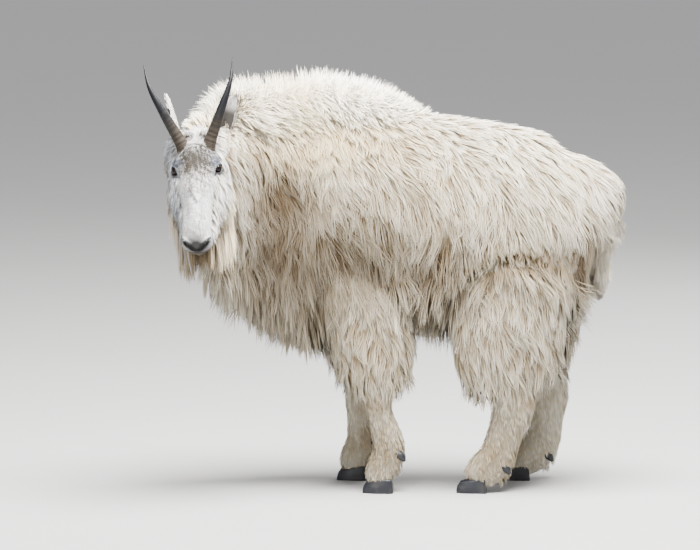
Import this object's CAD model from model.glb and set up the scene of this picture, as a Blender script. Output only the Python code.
import math

import bpy
import numpy as np
import openvdb
from mathutils import Matrix, Vector


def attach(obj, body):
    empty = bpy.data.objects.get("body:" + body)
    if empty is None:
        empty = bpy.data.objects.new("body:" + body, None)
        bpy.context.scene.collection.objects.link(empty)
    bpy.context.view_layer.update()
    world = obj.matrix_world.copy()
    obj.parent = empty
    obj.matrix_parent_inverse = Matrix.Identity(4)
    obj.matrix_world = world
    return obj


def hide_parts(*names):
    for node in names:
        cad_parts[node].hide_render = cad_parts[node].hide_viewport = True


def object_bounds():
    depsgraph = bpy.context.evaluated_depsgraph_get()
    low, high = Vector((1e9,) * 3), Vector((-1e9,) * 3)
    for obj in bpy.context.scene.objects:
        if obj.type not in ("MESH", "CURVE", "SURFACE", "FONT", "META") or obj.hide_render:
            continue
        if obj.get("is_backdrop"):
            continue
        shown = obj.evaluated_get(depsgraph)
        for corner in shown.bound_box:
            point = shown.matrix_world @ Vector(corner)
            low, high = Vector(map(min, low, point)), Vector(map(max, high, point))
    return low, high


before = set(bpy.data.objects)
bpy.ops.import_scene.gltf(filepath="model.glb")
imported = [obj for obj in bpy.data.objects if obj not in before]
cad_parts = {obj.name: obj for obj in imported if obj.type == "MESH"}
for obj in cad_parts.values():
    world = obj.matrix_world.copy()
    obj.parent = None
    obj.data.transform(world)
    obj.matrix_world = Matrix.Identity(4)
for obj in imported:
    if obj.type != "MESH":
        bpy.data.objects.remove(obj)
cadLow, cadHigh = (np.array(corner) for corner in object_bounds())
standAt = np.array((0.078, 0.106, 0.0))   # the trunk's middle line is y = 0 in all tables below
dice = np.random.default_rng(23)
up = np.array((0.0, 0.0, 1.0))
back = np.array((1.0, 0.0, 0.0))


# small vector helpers on arrays whose last axis is x, y, z
def unit(v):
    return v / np.maximum(np.linalg.norm(v, axis=-1, keepdims=True), 1e-9)


def dot(a, b):
    return (a * b).sum(-1, keepdims=True)


def clamp(values, low=0.0, high=1.0):
    return np.minimum(np.maximum(values, low), high)


def smooth(values, low, high):
    # 3s^2 - 2s^3 of the share s of the way from low to high
    s = clamp((values - low) / (high - low))
    return s * s * (3 - 2 * s)


def bell(values, width, power=2):
    # e to the minus (value / width) ^ power
    return np.exp(-(values / width) ** power)


def bellAround(points, centre, reach):
    # e to the minus squared distance from the centre, each axis measured in its own reach
    return np.exp(-(((points - centre) / reach) ** 2).sum(-1))


def roundEnd(t, start, length, least):
    # 1 up to the start, then a quarter circle down over the length, cut off at the root of least
    return np.sqrt(np.maximum(1 - np.maximum((t - start) / length, 0) ** 2, least))


def blend(first, second, share):
    return first + (second - first) * share


def folded(points):
    # the right half's points on the left
    return points * (1, 0, 1) + np.abs(points) * (0, 1, 0)


def tone(red, green, blue):
    # a display colour of 0 to 255 as the linear colour that shaders use
    c = np.array((red, green, blue)) / 255
    return np.where(c < 0.04045, c / 12.92, ((c + 0.055) / 1.055) ** 2.4)


def opaque(red, green, blue):
    return (*tone(red, green, blue), 1)


def alongRows(rows, t):
    # Catmull-Rom: the cubic through the four rows round each place t, counted in rows
    rows = np.asarray(rows, float)
    ends = np.vstack([2 * rows[0] - rows[1], rows, 2 * rows[-1] - rows[-2]])
    i = np.clip(t.astype(int), 0, len(rows) - 2)
    f = (t - i)[..., None]
    a, b, c, d = (ends[i + k] for k in range(4))
    return 0.5 * (2 * b + (c - a) * f + (2 * a - 5 * b + 4 * c - d) * f ** 2
                  + (3 * b - a - 3 * c + d) * f ** 3)


def superWaves(turn, square):
    # a superellipse's outline: cosine and sine raised to 2 / square, their signs kept
    c, s = np.cos(turn), np.sin(turn)
    return np.sign(c) * np.abs(c) ** (2 / square), np.sign(s) * np.abs(s) ** (2 / square)


def ringGrid(rows, upward, count, around, pinch=0.0, square=2.0, inset=0.0, least=0.004):
    # rings round a middle line: centre + over * high * sin + side * wide * cos, with the sine
    # and cosine of a superellipse, and the upper half narrowed by the pinch
    found = alongRows(rows, np.linspace(0, len(rows) - 1, count))
    line = unit(np.gradient(found[:, :3], axis=0))
    side = unit(np.cross(line, upward))
    over = unit(np.cross(side, line))
    c, s = superWaves(2 * np.pi * np.arange(around) / around, square)
    radii = np.maximum(found[:, 3:6] - inset, least)
    high = np.where(s > 0, radii[:, :1], radii[:, 1:2]) * s
    wide = radii[:, 2:3] * (1 - pinch * np.maximum(s, 0)) * c
    return (found[:, None, :3] + over[:, None] * high[..., None]
            + side[:, None] * wide[..., None])


def gridFaces(count, around, start=0):
    # one quad between each two rings and each two columns, the last column joined to the first
    i = np.arange(count - 1)[:, None] * around
    k = np.arange(around)[None]
    n = (k + 1) % around
    quads = np.stack([i + k, i + n, i + around + n, i + around + k], -1)
    return quads.reshape(-1, 4) + start


def closedTube(grid):
    # the ring grid with one more point in the middle of each end ring, and a fan of triangles
    count, around = grid.shape[:2]
    points = np.vstack([grid.reshape(-1, 3), grid[0].mean(0), grid[-1].mean(0)])
    k = np.arange(around)
    n = (k + 1) % around
    first, last = count * around, (count - 1) * around
    foot = np.stack([n, k, np.full(around, first)], -1)
    tip = np.stack([last + k, last + n, np.full(around, first + 1)], -1)
    return points, [gridFaces(count, around), foot, tip]


def volumeOf(points, faces):
    # six times the signed volume: positive where the faces point outwards
    total = 0.0
    for part in faces:
        for k in range(1, part.shape[1] - 1):
            a, b, c = points[part[:, 0]], points[part[:, k]], points[part[:, k + 1]]
            total += (np.cross(a, b) * c).sum()
    return total


def putMesh(name, points, faces, uv=None, attributes=None, settle=True):
    # loops, loop starts and points go into the mesh as whole arrays
    if settle and volumeOf(points, faces) < 0:
        faces = [part[:, ::-1] for part in faces]
    mesh = bpy.data.meshes.new(name)
    loops = np.concatenate([part.ravel() for part in faces]).astype(np.int32)
    sizes = np.concatenate([np.full(len(part), part.shape[1]) for part in faces])
    starts = np.concatenate([[0], np.cumsum(sizes)[:-1]]).astype(np.int32)
    mesh.vertices.add(len(points))
    mesh.vertices.foreach_set("co", (points + standAt).astype(np.float32).ravel())
    mesh.loops.add(len(loops))
    mesh.loops.foreach_set("vertex_index", loops)
    mesh.polygons.add(len(starts))
    mesh.polygons.foreach_set("loop_start", starts)
    mesh.update(calc_edges=True)
    if uv is not None:
        layer = mesh.uv_layers.new(name="OFBake")
        layer.data.foreach_set("uv", uv[loops].astype(np.float32).ravel())
    for key, values in (attributes or {}).items():
        addAttribute(mesh, key, values)
    mesh.shade_smooth()
    made = bpy.data.objects.new(name, mesh)
    bpy.context.scene.collection.objects.link(made)
    return made


def addAttribute(mesh, key, values):
    values = np.asarray(values, np.float32)
    if values.ndim == 1:
        mesh.attributes.new(key, "FLOAT", "POINT").data.foreach_set("value", values)
    else:
        four = np.concatenate([values, np.ones((len(values), 1))], 1).astype(np.float32)
        mesh.attributes.new(key, "FLOAT_COLOR", "POINT").data.foreach_set("color", four.ravel())


def applied(made, *modifiers):
    # adds modifiers given as (type, settings), and keeps their result as the mesh
    for kind, settings in modifiers:
        changed = made.modifiers.new(kind.lower(), kind)
        for key, value in settings.items():
            setattr(changed, key, value)
    graph = bpy.context.evaluated_depsgraph_get()
    mesh = bpy.data.meshes.new_from_object(made.evaluated_get(graph))
    made.modifiers.clear()
    made.data = mesh
    return made


def vertexValues(mesh, key):
    # three numbers for each vertex: its place or its normal
    found = np.empty(len(mesh.vertices) * 3, np.float32)
    mesh.vertices.foreach_get(key, found)
    return found.reshape(-1, 3)


def meshPoints(mesh):
    return vertexValues(mesh, "co").astype(float) - standAt


# shader helpers: sums and products of sockets as Math nodes
class Wire:
    def __init__(self, finish, socket):
        self.finish, self.socket = finish, socket

    def sum(self, operation, first, second):
        return self.finish.add("ShaderNodeMath", {"operation": operation}, {0: first, 1: second})

    def __add__(self, other):
        return self.sum("ADD", self, other)

    def __radd__(self, other):
        return self.sum("ADD", other, self)

    def __sub__(self, other):
        return self.sum("SUBTRACT", self, other)

    def __rsub__(self, other):
        return self.sum("SUBTRACT", other, self)

    def __mul__(self, other):
        return self.sum("MULTIPLY", self, other)

    def __rmul__(self, other):
        return self.sum("MULTIPLY", other, self)

    def __pow__(self, other):
        return self.sum("POWER", self, other)


class Finish:
    # one material: its shader's fixed values, and nodes added by type, settings and sockets
    def __init__(self, name, **fixed):
        self.material = bpy.data.materials.new(name)
        self.material.use_nodes = True
        self.tree = self.material.node_tree
        self.shader = self.tree.nodes["Principled BSDF"]
        for key, value in fixed.items():
            self.shader.inputs[key.replace("_", " ")].default_value = value

    def add(self, kind, settings=None, sockets=None, out=0):
        made = self.tree.nodes.new(kind)
        for key, value in (settings or {}).items():
            setattr(made, key, value)
        for key, value in (sockets or {}).items():
            if isinstance(value, Wire):
                self.tree.links.new(value.socket, made.inputs[key])
            else:
                made.inputs[key].default_value = value
        return Wire(self, made.outputs[out])

    def attribute(self, key, out="Fac"):
        return self.add("ShaderNodeAttribute", {"attribute_name": key}, out=out)

    def place(self):
        return self.add("ShaderNodeTexCoord", out="Object")

    def noise(self, scale, detail=3.0, rough=0.5, stretch=None):
        at = self.place()
        if stretch:
            at = self.add("ShaderNodeMapping", {}, {"Vector": at, "Scale": stretch})
        return self.add("ShaderNodeTexNoise", {}, {"Vector": at, "Scale": scale, "Detail": detail,
                                                   "Roughness": rough})

    def mix(self, share, first, second, blend="MIX"):
        return self.add("ShaderNodeMix", {"data_type": "RGBA", "blend_type": blend},
                        {0: share, 6: first, 7: second}, out=2)

    def ramp(self, value, low, high, kind="LINEAR"):
        # 0 below low, 1 above high
        return self.add("ShaderNodeMapRange", {"interpolation_type": kind},
                        {"Value": value, 1: low, 2: high})

    def scaled(self, colour, by):
        return self.add("ShaderNodeVectorMath", {"operation": "SCALE"}, {0: colour, "Scale": by})

    def feed(self, **links):
        for key, wire in links.items():
            self.tree.links.new(wire.socket, self.shader.inputs[key.replace("_", " ")])
        return self.material

    def bump(self, height, distance, strength=0.5):
        made = self.add("ShaderNodeBump", {}, {"Height": height, "Distance": distance,
                                               "Strength": strength})
        return made


def dress(made, material, slot, *nodes):
    # the finish, the body it rides on, the record's slot, and the nodes it stands for
    made.data.materials.clear()
    made.data.materials.append(material)
    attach(made, "root")
    if nodes:
        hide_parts(*nodes)
    return made


# camera and light first
view = dict(aim=(-0.097, 0.106, 0.5315), distance=20.0, rise=7.0, lens=411.4)


def placeCamera():
    rise = math.radians(view["rise"])
    out = Vector((0, -math.cos(rise), math.sin(rise)))
    camera = bpy.data.objects.new("camera", bpy.data.cameras.new("camera"))
    camera.data.lens, camera.data.sensor_width = view["lens"], 36.0
    camera.data.clip_end = 80.0
    camera.location = Vector(view["aim"]) + out * view["distance"]
    camera.rotation_euler = (-out).to_track_quat("-Z", "Y").to_euler()
    bpy.context.scene.collection.objects.link(camera)
    bpy.context.scene.camera = camera


lights = dict(sky=0.44, skyTint=(0.97, 0.98, 1.0, 1), lampTint=(1.0, 0.975, 0.94), lamps={
    "above": ((0.4, -0.8, 4.2), 1800.0, 2.6),   # place, power, size
    "front": ((-1.6, -4.0, 2.4), 110.0, 2.8),
    "behind": ((1.8, 3.4, 2.6), 170.0, 2.6)})


def placeLights():
    world = bpy.data.worlds.new("studio")
    world.use_nodes = True
    world.node_tree.nodes["Background"].inputs[0].default_value = lights["skyTint"]
    world.node_tree.nodes["Background"].inputs[1].default_value = lights["sky"]
    bpy.context.scene.world = world
    for name, (place, power, size) in lights["lamps"].items():
        lamp = bpy.data.lights.new(name, "AREA")
        lamp.energy, lamp.size = power, size
        lamp.color = lights["lampTint"]
        made = bpy.data.objects.new(name, lamp)
        made.location = place
        made.rotation_euler = (Vector((0, 0, 0.5)) - Vector(place)).to_track_quat("-Z", "Y").to_euler()
        bpy.context.scene.collection.objects.link(made)
    print("camera and lights")


floorSize = dict(half=90.0, paleFrom=2.5, paleTo=16.0)


def makeFloor():
    # one level square, wide enough to fill the view from every side, and paler far off, where
    # less light falls
    corners = np.array([(-1, -1, 0), (1, -1, 0), (1, 1, 0), (-1, 1, 0)]) * floorSize["half"]
    floor = putMesh("floor", corners - standAt, [np.array([[0, 1, 2, 3]])], settle=False)
    pale = Finish("paleFloor", Roughness=0.9)
    near = pale.mix(pale.noise(3.0, 2.0), (0.33, 0.333, 0.338, 1), (0.36, 0.36, 0.36, 1))
    away = pale.add("ShaderNodeVectorMath", {"operation": "LENGTH"}, {0: pale.place()}, out="Value")
    far = pale.ramp(away, floorSize["paleFrom"], floorSize["paleTo"], "SMOOTHSTEP")
    pale.feed(Base_Color=pale.mix(far, near, (0.80, 0.80, 0.81, 1)))
    floor.data.materials.append(pale.material)
    floor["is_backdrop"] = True
    print("floor")


# the bare body: x, y, z of the middle line, then the radius up or ahead, down or behind, sideways
foreTrack, hindTrack = 0.112, 0.110
trunk = dict(upward=up, pinch=0.22, square=2.15, inset=0.008, rows=[
    (0.500, 0, 0.690, 0.056, 0.015, 0.030), (0.474, 0, 0.690, 0.112, 0.030, 0.080),
    (0.425, 0, 0.680, 0.165, 0.070, 0.122), (0.345, 0, 0.660, 0.226, 0.190, 0.158),
    (0.220, 0, 0.650, 0.258, 0.195, 0.172), (0.100, 0, 0.660, 0.262, 0.205, 0.180),
    (-0.040, 0, 0.680, 0.262, 0.235, 0.184), (-0.160, 0, 0.690, 0.275, 0.255, 0.180),
    (-0.280, 0, 0.690, 0.275, 0.265, 0.162), (-0.370, 0, 0.690, 0.235, 0.215, 0.135),
    (-0.430, 0, 0.690, 0.120, 0.120, 0.080)])
neck = dict(upward=up, pinch=0.12, square=2.0, inset=0.010, rows=[
    (-0.200, 0.000, 0.740, 0.205, 0.270, 0.150), (-0.310, -0.020, 0.765, 0.192, 0.320, 0.145),
    (-0.400, -0.080, 0.800, 0.162, 0.290, 0.128), (-0.465, -0.150, 0.835, 0.125, 0.255, 0.110),
    (-0.515, -0.215, 0.860, 0.085, 0.170, 0.092), (-0.535, -0.255, 0.868, 0.045, 0.080, 0.062)])
tail = dict(upward=np.array((1.0, 0.0, 0.3)), pinch=0.0, square=2.0, inset=0.008, rows=[
    (0.425, 0, 0.705, 0.030, 0.030, 0.034), (0.446, 0, 0.665, 0.024, 0.026, 0.036),
    (0.453, 0, 0.600, 0.016, 0.020, 0.034), (0.450, 0, 0.540, 0.012, 0.014, 0.028),
    (0.447, 0, 0.500, 0.008, 0.008, 0.014)])
foreleg = [(-0.175, 0.080, 0.640, 0.090, 0.100, 0.060), (-0.160, 0.100, 0.520, 0.100, 0.105, 0.068),
           (-0.140, 0.110, 0.420, 0.096, 0.115, 0.068),
           (-0.122, foreTrack, 0.335, 0.086, 0.110, 0.062),
           (-0.118, foreTrack, 0.270, 0.056, 0.064, 0.048)]
hindleg = [(0.280, 0.070, 0.640, 0.130, 0.120, 0.080), (0.230, 0.092, 0.520, 0.140, 0.150, 0.084),
           (0.200, 0.104, 0.420, 0.125, 0.163, 0.080), (0.190, hindTrack, 0.335, 0.105, 0.148, 0.070),
           (0.205, hindTrack, 0.262, 0.080, 0.100, 0.054)]
foreShank = [(-0.118, foreTrack, 0.320, 0.042, 0.042, 0.038),
             (-0.106, foreTrack, 0.250, 0.040, 0.040, 0.037),
             (-0.104, foreTrack, 0.205, 0.035, 0.035, 0.031),
             (-0.090, foreTrack, 0.160, 0.038, 0.040, 0.031),
             (-0.081, foreTrack, 0.122, 0.042, 0.046, 0.034),
             (-0.082, foreTrack, 0.090, 0.042, 0.045, 0.036),
             (-0.097, foreTrack, 0.060, 0.042, 0.040, 0.037),
             (-0.102, foreTrack, 0.032, 0.040, 0.037, 0.037),
             (-0.104, foreTrack, 0.022, 0.034, 0.030, 0.032)]
hindShank = [(0.215, hindTrack, 0.320, 0.052, 0.052, 0.042),
             (0.235, hindTrack, 0.258, 0.052, 0.056, 0.040),
             (0.226, hindTrack, 0.205, 0.052, 0.058, 0.040),
             (0.213, hindTrack, 0.158, 0.047, 0.050, 0.036),
             (0.200, hindTrack, 0.118, 0.046, 0.050, 0.035),
             (0.187, hindTrack, 0.086, 0.048, 0.055, 0.037),
             (0.163, hindTrack, 0.058, 0.050, 0.056, 0.038),
             (0.142, hindTrack, 0.034, 0.044, 0.041, 0.037),
             (0.134, hindTrack, 0.024, 0.036, 0.034, 0.033)]
legSides = (("left", -1, 0.0, 0.0), ("right", 1, -0.064, 0.112))   # the right feet stand apart


def legRows(rows, side, shift):
    # the left leg's rows on one side, leaning below 0.60 so that the foot moves by the shift
    found = np.array(rows, float)
    found[:, 0] += shift * clamp((0.60 - found[:, 2]) / 0.48)
    found[:, 1] *= side
    return found


def limb(rows, inset):
    return dict(upward=-back, pinch=0.0, square=2.15, inset=inset, rows=rows)


charts = {"trunk": trunk, "neck": neck, "tail": tail}
for legName, legSide, foreShift, hindShift in legSides:
    charts["foreleg_" + legName] = limb(legRows(foreleg, legSide, foreShift), 0.010)
    charts["hindleg_" + legName] = limb(legRows(hindleg, legSide, hindShift), 0.010)
    charts["foreshank_" + legName] = limb(legRows(foreShank, legSide, foreShift), 0.006)
    charts["hindshank_" + legName] = limb(legRows(hindShank, legSide, hindShift), 0.006)


def chartGrid(shape, count=150, around=150):
    return ringGrid(count=count, around=around, **shape)


# the head: x along the bridge of the nose, y to the goat's left, z out of the brow
pollAt = np.array((-0.556, -0.268, 0.915))
headPose = dict(down=56.0, turned=5.0, lean=4.0)   # degrees


def headAxes():
    down, turned, lean = (math.radians(angle) for angle in headPose.values())
    ahead = Vector((-math.sin(turned), -math.cos(turned), 0))
    left = Vector((0, 0, 1)).cross(ahead)
    nose = ahead * math.cos(down) - Vector((0, 0, 1)) * math.sin(down)
    roll = Matrix.Rotation(lean, 3, ahead)
    left, nose = roll @ left, roll @ nose
    return np.array((nose, left, nose.cross(left)))   # one axis in each row


headTurn = headAxes()


def inHead(points, side=1):
    points = np.asarray(points, float) * (1, side, 1)
    return pollAt + points @ headTurn


def toHead(points):
    return (points - pollAt) @ headTurn.T


head = dict(square=2.2, pinch=0.16, blunt=2.5, frontFrom=0.266, frontTo=0.3013, rearFrom=-0.018,
            rearTo=-0.052, rings=196, around=208, rows=[
                # along the nose line, height of the centre, radius up, down, sideways
                (-0.045, -0.060, 0.036, 0.042, 0.042), (-0.015, -0.056, 0.044, 0.060, 0.055),
                (0.030, -0.056, 0.058, 0.076, 0.062), (0.080, -0.056, 0.061, 0.083, 0.0635),
                (0.125, -0.056, 0.058, 0.080, 0.058), (0.170, -0.052, 0.049, 0.068, 0.044),
                (0.215, -0.046, 0.043, 0.052, 0.0385), (0.255, -0.043, 0.040, 0.042, 0.0385),
                (0.290, -0.043, 0.037, 0.038, 0.0375), (0.310, -0.043, 0.036, 0.037, 0.037)])
eyeAt = np.array((0.083, 0.0492, -0.031))
hornAt = np.array((0.026, 0.031, -0.012))
earAt = np.array((0.000, 0.056, -0.040))
# soft swellings and hollows of the head: centre, reach along each axis, height
headForms = {
    "brow": ((0.067, 0.047, -0.012), (0.020, 0.014, 0.010), 0.0050),
    "orbit": ((0.078, 0.060, -0.026), (0.021, 0.018, 0.017), 0.0050),
    "tearPit": ((0.107, 0.046, -0.020), (0.013, 0.012, 0.011), -0.0050),
    "temple": ((0.044, 0.060, -0.026), (0.016, 0.016, 0.014), -0.0035),
    "cheekbone": ((0.128, 0.052, -0.056), (0.042, 0.018, 0.009), 0.0032),
    "jawMuscle": ((0.100, 0.060, -0.098), (0.065, 0.030, 0.034), 0.0060),
    "cheekHollow": ((0.196, 0.042, -0.060), (0.032, 0.018, 0.016), -0.0035),
    "bridge": ((0.185, 0.000, 0.000), (0.060, 0.015, 0.020), 0.0030),
    "bridgeSide": ((0.205, 0.024, -0.012), (0.040, 0.009, 0.012), -0.0022),
    "forehead": ((0.060, 0.000, 0.006), (0.035, 0.026, 0.020), 0.0040),
    "wing": ((0.287, 0.027, -0.026), (0.014, 0.011, 0.011), 0.0050),
    "upperLip": ((0.284, 0.020, -0.047), (0.022, 0.022, 0.008), 0.0036),
    "lowerLip": ((0.296, 0.000, -0.070), (0.014, 0.025, 0.009), 0.0060),
    "chin": ((0.272, 0.000, -0.084), (0.022, 0.018, 0.012), 0.0040),
    "mouthCorner": ((0.243, 0.036, -0.052), (0.012, 0.010, 0.008), -0.0020)}
nostrilPath = np.array(((0.3045, 0.0035, -0.0395), (0.3040, 0.0090, -0.0340), (0.3000, 0.0170, -0.0275),
                        (0.2930, 0.0260, -0.0235), (0.2850, 0.0330, -0.0230), (0.2790, 0.0365, -0.026)))
nostrilWide = np.array((0.0046, 0.0060, 0.0066, 0.0060, 0.0046, 0.0026))
mouthPath = np.array([(0.3035 - 0.62 * y - 14 * y * y, y, -0.0535 + 6.0 * y * y)
                      for y in np.linspace(0, 0.046, 8)])
lipSplit = np.array(((0.3085, 0.0, -0.036), (0.3075, 0.0, -0.045), (0.304, 0.0, -0.054)))


def nearPath(points, path, widths=None):
    # the shortest distance to a broken line, over the line's own half width where that is given
    best = np.full(points.shape[:-1], 1e9)
    widths = np.ones(len(path)) if widths is None else widths
    for a, b, wa, wb in zip(path[:-1], path[1:], widths[:-1], widths[1:]):
        share = clamp(((points - a) @ (b - a)) / ((b - a) @ (b - a)))
        gap = np.linalg.norm(points - a - share[..., None] * (b - a), axis=-1)
        best = np.minimum(best, gap / (wa + (wb - wa) * share))
    return best


eyeAcross = unit(np.array((0.67, -0.61, 0.05)))   # towards the inner corner
eyeOut = np.array((0.42, 0.70, 0.56))
eyeOut = unit(eyeOut - eyeAcross * (eyeOut @ eyeAcross))
eyeOver = np.cross(eyeOut, eyeAcross)
almond = dict(long=0.0134, high=0.0086, depth=0.0120, lid=0.0026, crease=0.0018)


def almondShare(points):
    # 1 on the edge of the eye's opening: its height shrinks towards both corners
    near = folded(points) - eyeAt
    a = near @ eyeAcross / almond["long"]
    b = near @ eyeOver / almond["high"]
    front = smooth(near @ eyeOut, -0.006, 0.0)
    share = np.sqrt(a ** 2 + (b / np.maximum(1 - 0.42 * np.minimum(a * a, 1.3), 0.3)) ** 2)
    return np.where(front > 0, share / np.maximum(front, 0.05), 99.0), b


def headRings():
    # places along the nose line, denser at the eyes and the muzzle, and how far each ring is
    # closed: both ends are superellipse caps
    cap = np.linspace(0, np.pi / 2, 32)
    e = 2 / head["blunt"]
    front = head["frontFrom"] + (head["frontTo"] - head["frontFrom"]) * np.sin(cap) ** e
    rear = head["rearFrom"] + (head["rearTo"] - head["rearFrom"]) * np.sin(cap[::-2]) ** e
    capRings = len(front) + len(rear)
    middle = np.linspace(head["rearFrom"], head["frontFrom"], head["rings"] - capRings + 2)[1:-1]
    pace = np.cumsum(1 + 1.1 * bell(middle - 0.083, 0.022) + 0.7 * smooth(middle, 0.2, 0.26))
    pace = (pace - pace[0]) / (pace[-1] - pace[0])
    middle = np.interp(np.linspace(0, 1, len(middle)), pace, middle)
    close = np.concatenate([np.cos(cap[::-2]) ** e, np.ones(len(middle)), np.cos(cap) ** e])
    return np.concatenate([rear, middle, front]), np.maximum(close, 0.02)[:, None]


def softForms(grid):
    # the sum of the swellings and hollows, each a bell round its centre
    side = folded(grid)
    move = np.zeros(grid.shape[:2])
    for centre, reach, amount in headForms.values():
        move += amount * bellAround(side, centre, reach)
    return move


# depth or height and width; the nostril's are shares of its own half width
grooves = dict(nostril=(0.0085, 0.95), nostrilRim=(0.0018, 0.55), mouth=(0.0046, 0.0026),
               lipSplit=(0.0022, 0.0018), noseWaves=0.00025)


def sharpForms(grid):
    # the eye's opening with its lid and crease, then nostrils, mouth, split lip and nose waves
    side = folded(grid)
    share, b = almondShare(grid)
    move = -almond["depth"] * (1 - smooth(share, 0.72, 1.0))
    move += almond["lid"] * bell(share - 1.16, 0.20) * (1 + 0.3 * (b > 0))
    move -= almond["crease"] * bell(share - 1.75, 0.16) * smooth(b, 0.1, 0.8)
    wing = nearPath(side, nostrilPath, nostrilWide)
    high, wide = grooves["nostrilRim"]
    move += high * bell(wing - 1.7, wide)
    deep, wide = grooves["nostril"]
    move -= deep * bell(wing, wide, 4)
    for path, (deep, wide) in ((mouthPath, grooves["mouth"]), (lipSplit, grooves["lipSplit"])):
        move -= deep * bell(nearPath(side, path), wide)
    x, z = side[..., 0], side[..., 2]
    waves = grooves["noseWaves"] * np.sin(x * 900) * bell(z, 0.02)
    return move + waves * smooth(x, 0.2, 0.24) * (1 - smooth(x, 0.27, 0.285))


def headGrid():
    # superellipse rings along the nose line, then every point is moved along its normal, first by
    # the soft forms and then, on the new shape, by the sharp ones
    rows = np.array(head["rows"])
    fine = alongRows(rows, np.linspace(0, len(rows) - 1, 400))
    x, close = headRings()
    centre, high, low, wide = (np.interp(x, fine[:, 0], fine[:, k])[:, None] for k in (1, 2, 3, 4))
    turn = np.linspace(0, 2 * np.pi, 2001)
    dense = 1 + 1.2 * (bell(turn - 0.42, 0.22) + bell(turn - (np.pi - 0.42), 0.22))   # at the eyes
    turn = np.interp(np.linspace(0, 1, head["around"] + 1)[:-1],
                     np.concatenate([[0], np.cumsum(dense[1:])]) / dense[1:].sum(), turn)
    c, s = superWaves(turn, head["square"])
    y = wide * close * (1 - head["pinch"] * np.maximum(s, 0)) * c
    z = centre + close * np.where(s > 0, high, low) * s
    grid = np.stack([np.broadcast_to(x[:, None], y.shape), y, z], -1)
    for forms in (softForms, sharpForms):
        grid = grid + gridNormals(grid) * forms(grid)[..., None]
    return grid


def gridNormals(grid):
    # the cross product of the two directions along the grid, turned away from each ring's middle
    along = np.gradient(grid, axis=0)
    over = (np.roll(grid, -1, 1) - np.roll(grid, 1, 1))
    normal = unit(np.cross(along, over))
    away = (normal * (grid - grid.mean(1, keepdims=True))).sum()
    return normal if away > 0 else -normal


ear = dict(length=0.128, half=0.026, deep=0.018, wall=0.0030, rings=44, around=64,
           rise={1: (0.30, -0.02, 0.93), -1: (-0.17, 0.10, 0.93)},   # each is turned its own way
           opening={1: (0.58, -0.80, 0.05), -1: (-0.95, -0.20, 0.05)})


def earAxes(side):
    base = inHead(earAt, side)
    rise, opening = unit(np.array(ear["rise"][side])), np.array(ear["opening"][side])
    opening = unit(opening - rise * (opening @ rise))
    return base, rise, opening, np.cross(rise, opening)


def earGrid(side):
    # a leaf along its rise: the back is a half ellipse, the cup the same one less the wall
    base, rise, opening, across = earAxes(side)
    t = np.linspace(0, 1, ear["rings"])[:, None]
    half = ear["half"] * np.sin(np.pi * np.minimum(0.26 + 0.70 * t, 0.965)) ** 0.8
    half = half * roundEnd(t, 0.86, 0.14, 0.004)
    depth = (ear["deep"] * (1 - t) ** 0.8 + 0.004) * roundEnd(t, 0.9, 0.1, 0.02)
    turn = np.linspace(0, np.pi, ear["around"] // 2)[None]
    wall = ear["wall"] * (0.5 + 0.5 * np.minimum((1 - t) * 3, 1))
    cup = smooth(t, 0.10, 0.24)   # closed below, where it grows from the head
    outerY, outerZ = half * np.cos(turn), -depth * np.sin(turn)
    innerZ = -(depth - wall) * np.sin(turn) * cup + 0.004 * np.sin(turn) * (1 - cup)
    innerY = (half - wall * 0.7) * np.cos(turn)
    y = np.concatenate([outerY, innerY[:, ::-1]], 1)
    z = np.concatenate([outerZ, innerZ[:, ::-1]], 1) + 0.0015
    spine = base + rise * (ear["length"] * t - 0.012) + np.array((0, 0.012, 0)) * t * t
    return spine[:, None] + across * y[..., None] + opening * z[..., None]


# the limbs' ring grids, the joined body's voxel and smoothing, the thigh's fold (height or depth,
# then width), and how far it keeps inside the low sides of the solids' box
skinShape = dict(rings=60, around=56, voxel=0.008, factor=0.5, rounds=10,
                 roll=(0.007, 0.013), rollAt=0.026, groove=(0.011, 0.009), inside=0.0004)


def makeSkin():
    # limbs as ring grids, joined as voxels and smoothed, then head and ears added to them
    points, faces, start = [], [], 0
    for shape in charts.values():
        tube = closedTube(chartGrid(shape, skinShape["rings"], skinShape["around"]))
        if volumeOf(*tube) < 0:
            tube = (tube[0], [part[:, ::-1] for part in tube[1]])
        points.append(tube[0])
        faces += [part + start for part in tube[1]]
        start += len(tube[0])
    body = putMesh("skin", np.vstack(points), faces)
    applied(body, ("REMESH", {"mode": "VOXEL", "voxel_size": skinShape["voxel"], "adaptivity": 0.0}),
            ("SMOOTH", {"factor": skinShape["factor"], "iterations": skinShape["rounds"]}))
    grown = [putMesh("headShape", *closedTube(inHead(headGrid())))]
    grown += [putMesh("earShape", *closedTube(earGrid(side))) for side in (1, -1)]
    for extra in grown:
        applied(body, ("BOOLEAN", {"operation": "UNION", "solver": "MANIFOLD", "object": extra}))
        bpy.data.objects.remove(extra)
    # the fold of the thigh: a groove with a soft roll on each side of it
    points = meshPoints(body.data)
    gap = foldGap(points)
    high, wide = skinShape["roll"]
    deep, narrow = skinShape["groove"]
    move = high * bell(gap - skinShape["rollAt"], wide) - deep * bell(gap, narrow)
    points = points + vertexValues(body.data, "normal") * move[:, None]
    points = np.maximum(points, cadLow - standAt + skinShape["inside"])
    body.data.vertices.foreach_set("co", (points + standAt).astype(np.float32).ravel())
    print("skin", len(body.data.polygons), "faces")
    return body


thighFolds = [np.array(((0.130, 0, 0.552), (0.152, 0, 0.572), (0.185, 0, 0.587), (0.238, 0, 0.590),
                        (0.275, 0, 0.583), (0.312, 0, 0.566), (0.340, 0, 0.545))),
              np.array(((0.255, 0, 0.560), (0.290, 0, 0.548), (0.325, 0, 0.528)))]


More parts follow.
